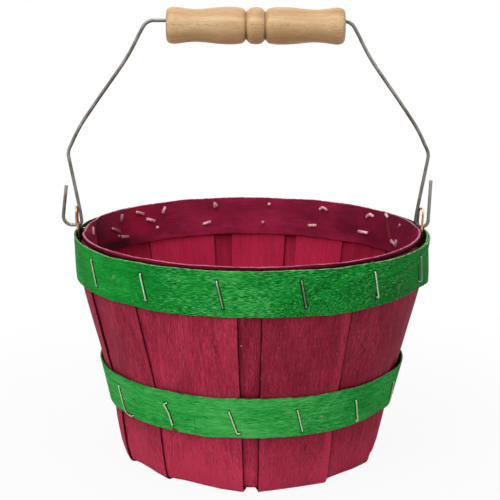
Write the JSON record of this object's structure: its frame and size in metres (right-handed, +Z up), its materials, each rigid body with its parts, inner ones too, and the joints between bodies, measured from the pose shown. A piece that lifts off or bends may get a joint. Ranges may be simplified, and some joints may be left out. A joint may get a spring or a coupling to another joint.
{
  "type": "round veneer basket",
  "caption": "Round tapered basket of lapped dyed veneer splints, held by a double rim hoop and a lower hoop, with a swinging wire bail and a turned wood grip.",
  "frame": {"origin": "centre of the round underside, where the lowest splint rests on the floor", "axes": "+Z up, X along the bail's hinge axis, -Y towards the side shown in the picture"},
  "size_m": [0.2465, 0.2353, 0.2982],
  "materials": {
    "dyed_red_veneer": "rotary-cut veneer dyed burgundy red, matt",
    "dyed_red_veneer_inner": "rotary-cut veneer dyed burgundy red, matt",
    "dyed_green_hoop": "sawn veneer hoop dyed green, slightly fibrous",
    "dyed_red_hoop": "veneer hoop dyed red, slightly fibrous",
    "galvanised_wire": "drawn galvanised wire",
    "copper_wire": "copper-coated wire",
    "turned_birch": "turned pale hardwood, waxed",
    "staple_wire": "flattened pale steel wire"
  },
  "bodies": {
    "basket": {"outer_splint_1": "dyed_red_veneer", "outer_splint_2": "dyed_red_veneer", "outer_splint_3": "dyed_red_veneer", "outer_splint_4": "dyed_red_veneer", "outer_splint_5": "dyed_red_veneer", "outer_splint_6": "dyed_red_veneer", "inner_splint_1": "dyed_red_veneer_inner", "inner_splint_2": "dyed_red_veneer_inner", "inner_splint_3": "dyed_red_veneer_inner", "inner_splint_4": "dyed_red_veneer_inner", "inner_splint_5": "dyed_red_veneer_inner", "inner_splint_6": "dyed_red_veneer_inner", "rim_hoop_outer": "dyed_green_hoop", "rim_hoop_inner": "dyed_red_hoop", "lower_hoop": "dyed_green_hoop", "bail_eye_left": "copper_wire", "bail_eye_right": "copper_wire", "rim_staple_01": "staple_wire", "rim_staple_02": "staple_wire", "rim_staple_03": "staple_wire", "rim_staple_04": "staple_wire", "rim_staple_05": "staple_wire", "rim_staple_06": "staple_wire", "rim_staple_07": "staple_wire", "rim_staple_08": "staple_wire", "rim_staple_09": "staple_wire", "rim_staple_10": "staple_wire", "rim_staple_11": "staple_wire", "rim_staple_12": "staple_wire", "rim_staple_13": "staple_wire", "rim_staple_14": "staple_wire", "rim_staple_15": "staple_wire", "rim_staple_16": "staple_wire", "rim_staple_17": "staple_wire", "lower_staple_01": "staple_wire", "lower_staple_02": "staple_wire", "lower_staple_03": "staple_wire", "lower_staple_04": "staple_wire", "lower_staple_05": "staple_wire", "lower_staple_06": "staple_wire", "lower_staple_07": "staple_wire", "lower_staple_08": "staple_wire", "lower_staple_09": "staple_wire", "lower_staple_10": "staple_wire", "lower_staple_11": "staple_wire", "lower_staple_12": "staple_wire", "lower_staple_13": "staple_wire", "lower_staple_14": "staple_wire", "floor_staple": "staple_wire"},
    "bail": {"wire_bail": "galvanised_wire"},
    "grip": {"wood_grip": "turned_birch"}
  },
  "joints": [
    {"name": "bail_swing", "type": "hinge", "parent": "basket", "child": "bail", "pos_m": [0, 0, 0.1543], "axis": [1, 0, 0], "range_deg": [-88, 88]},
    {"name": "grip_spin", "type": "hinge", "parent": "bail", "child": "grip", "pos_m": [0.0022, 0, 0.2862], "axis": [1, 0, 0], "continuous": true}
  ]
}
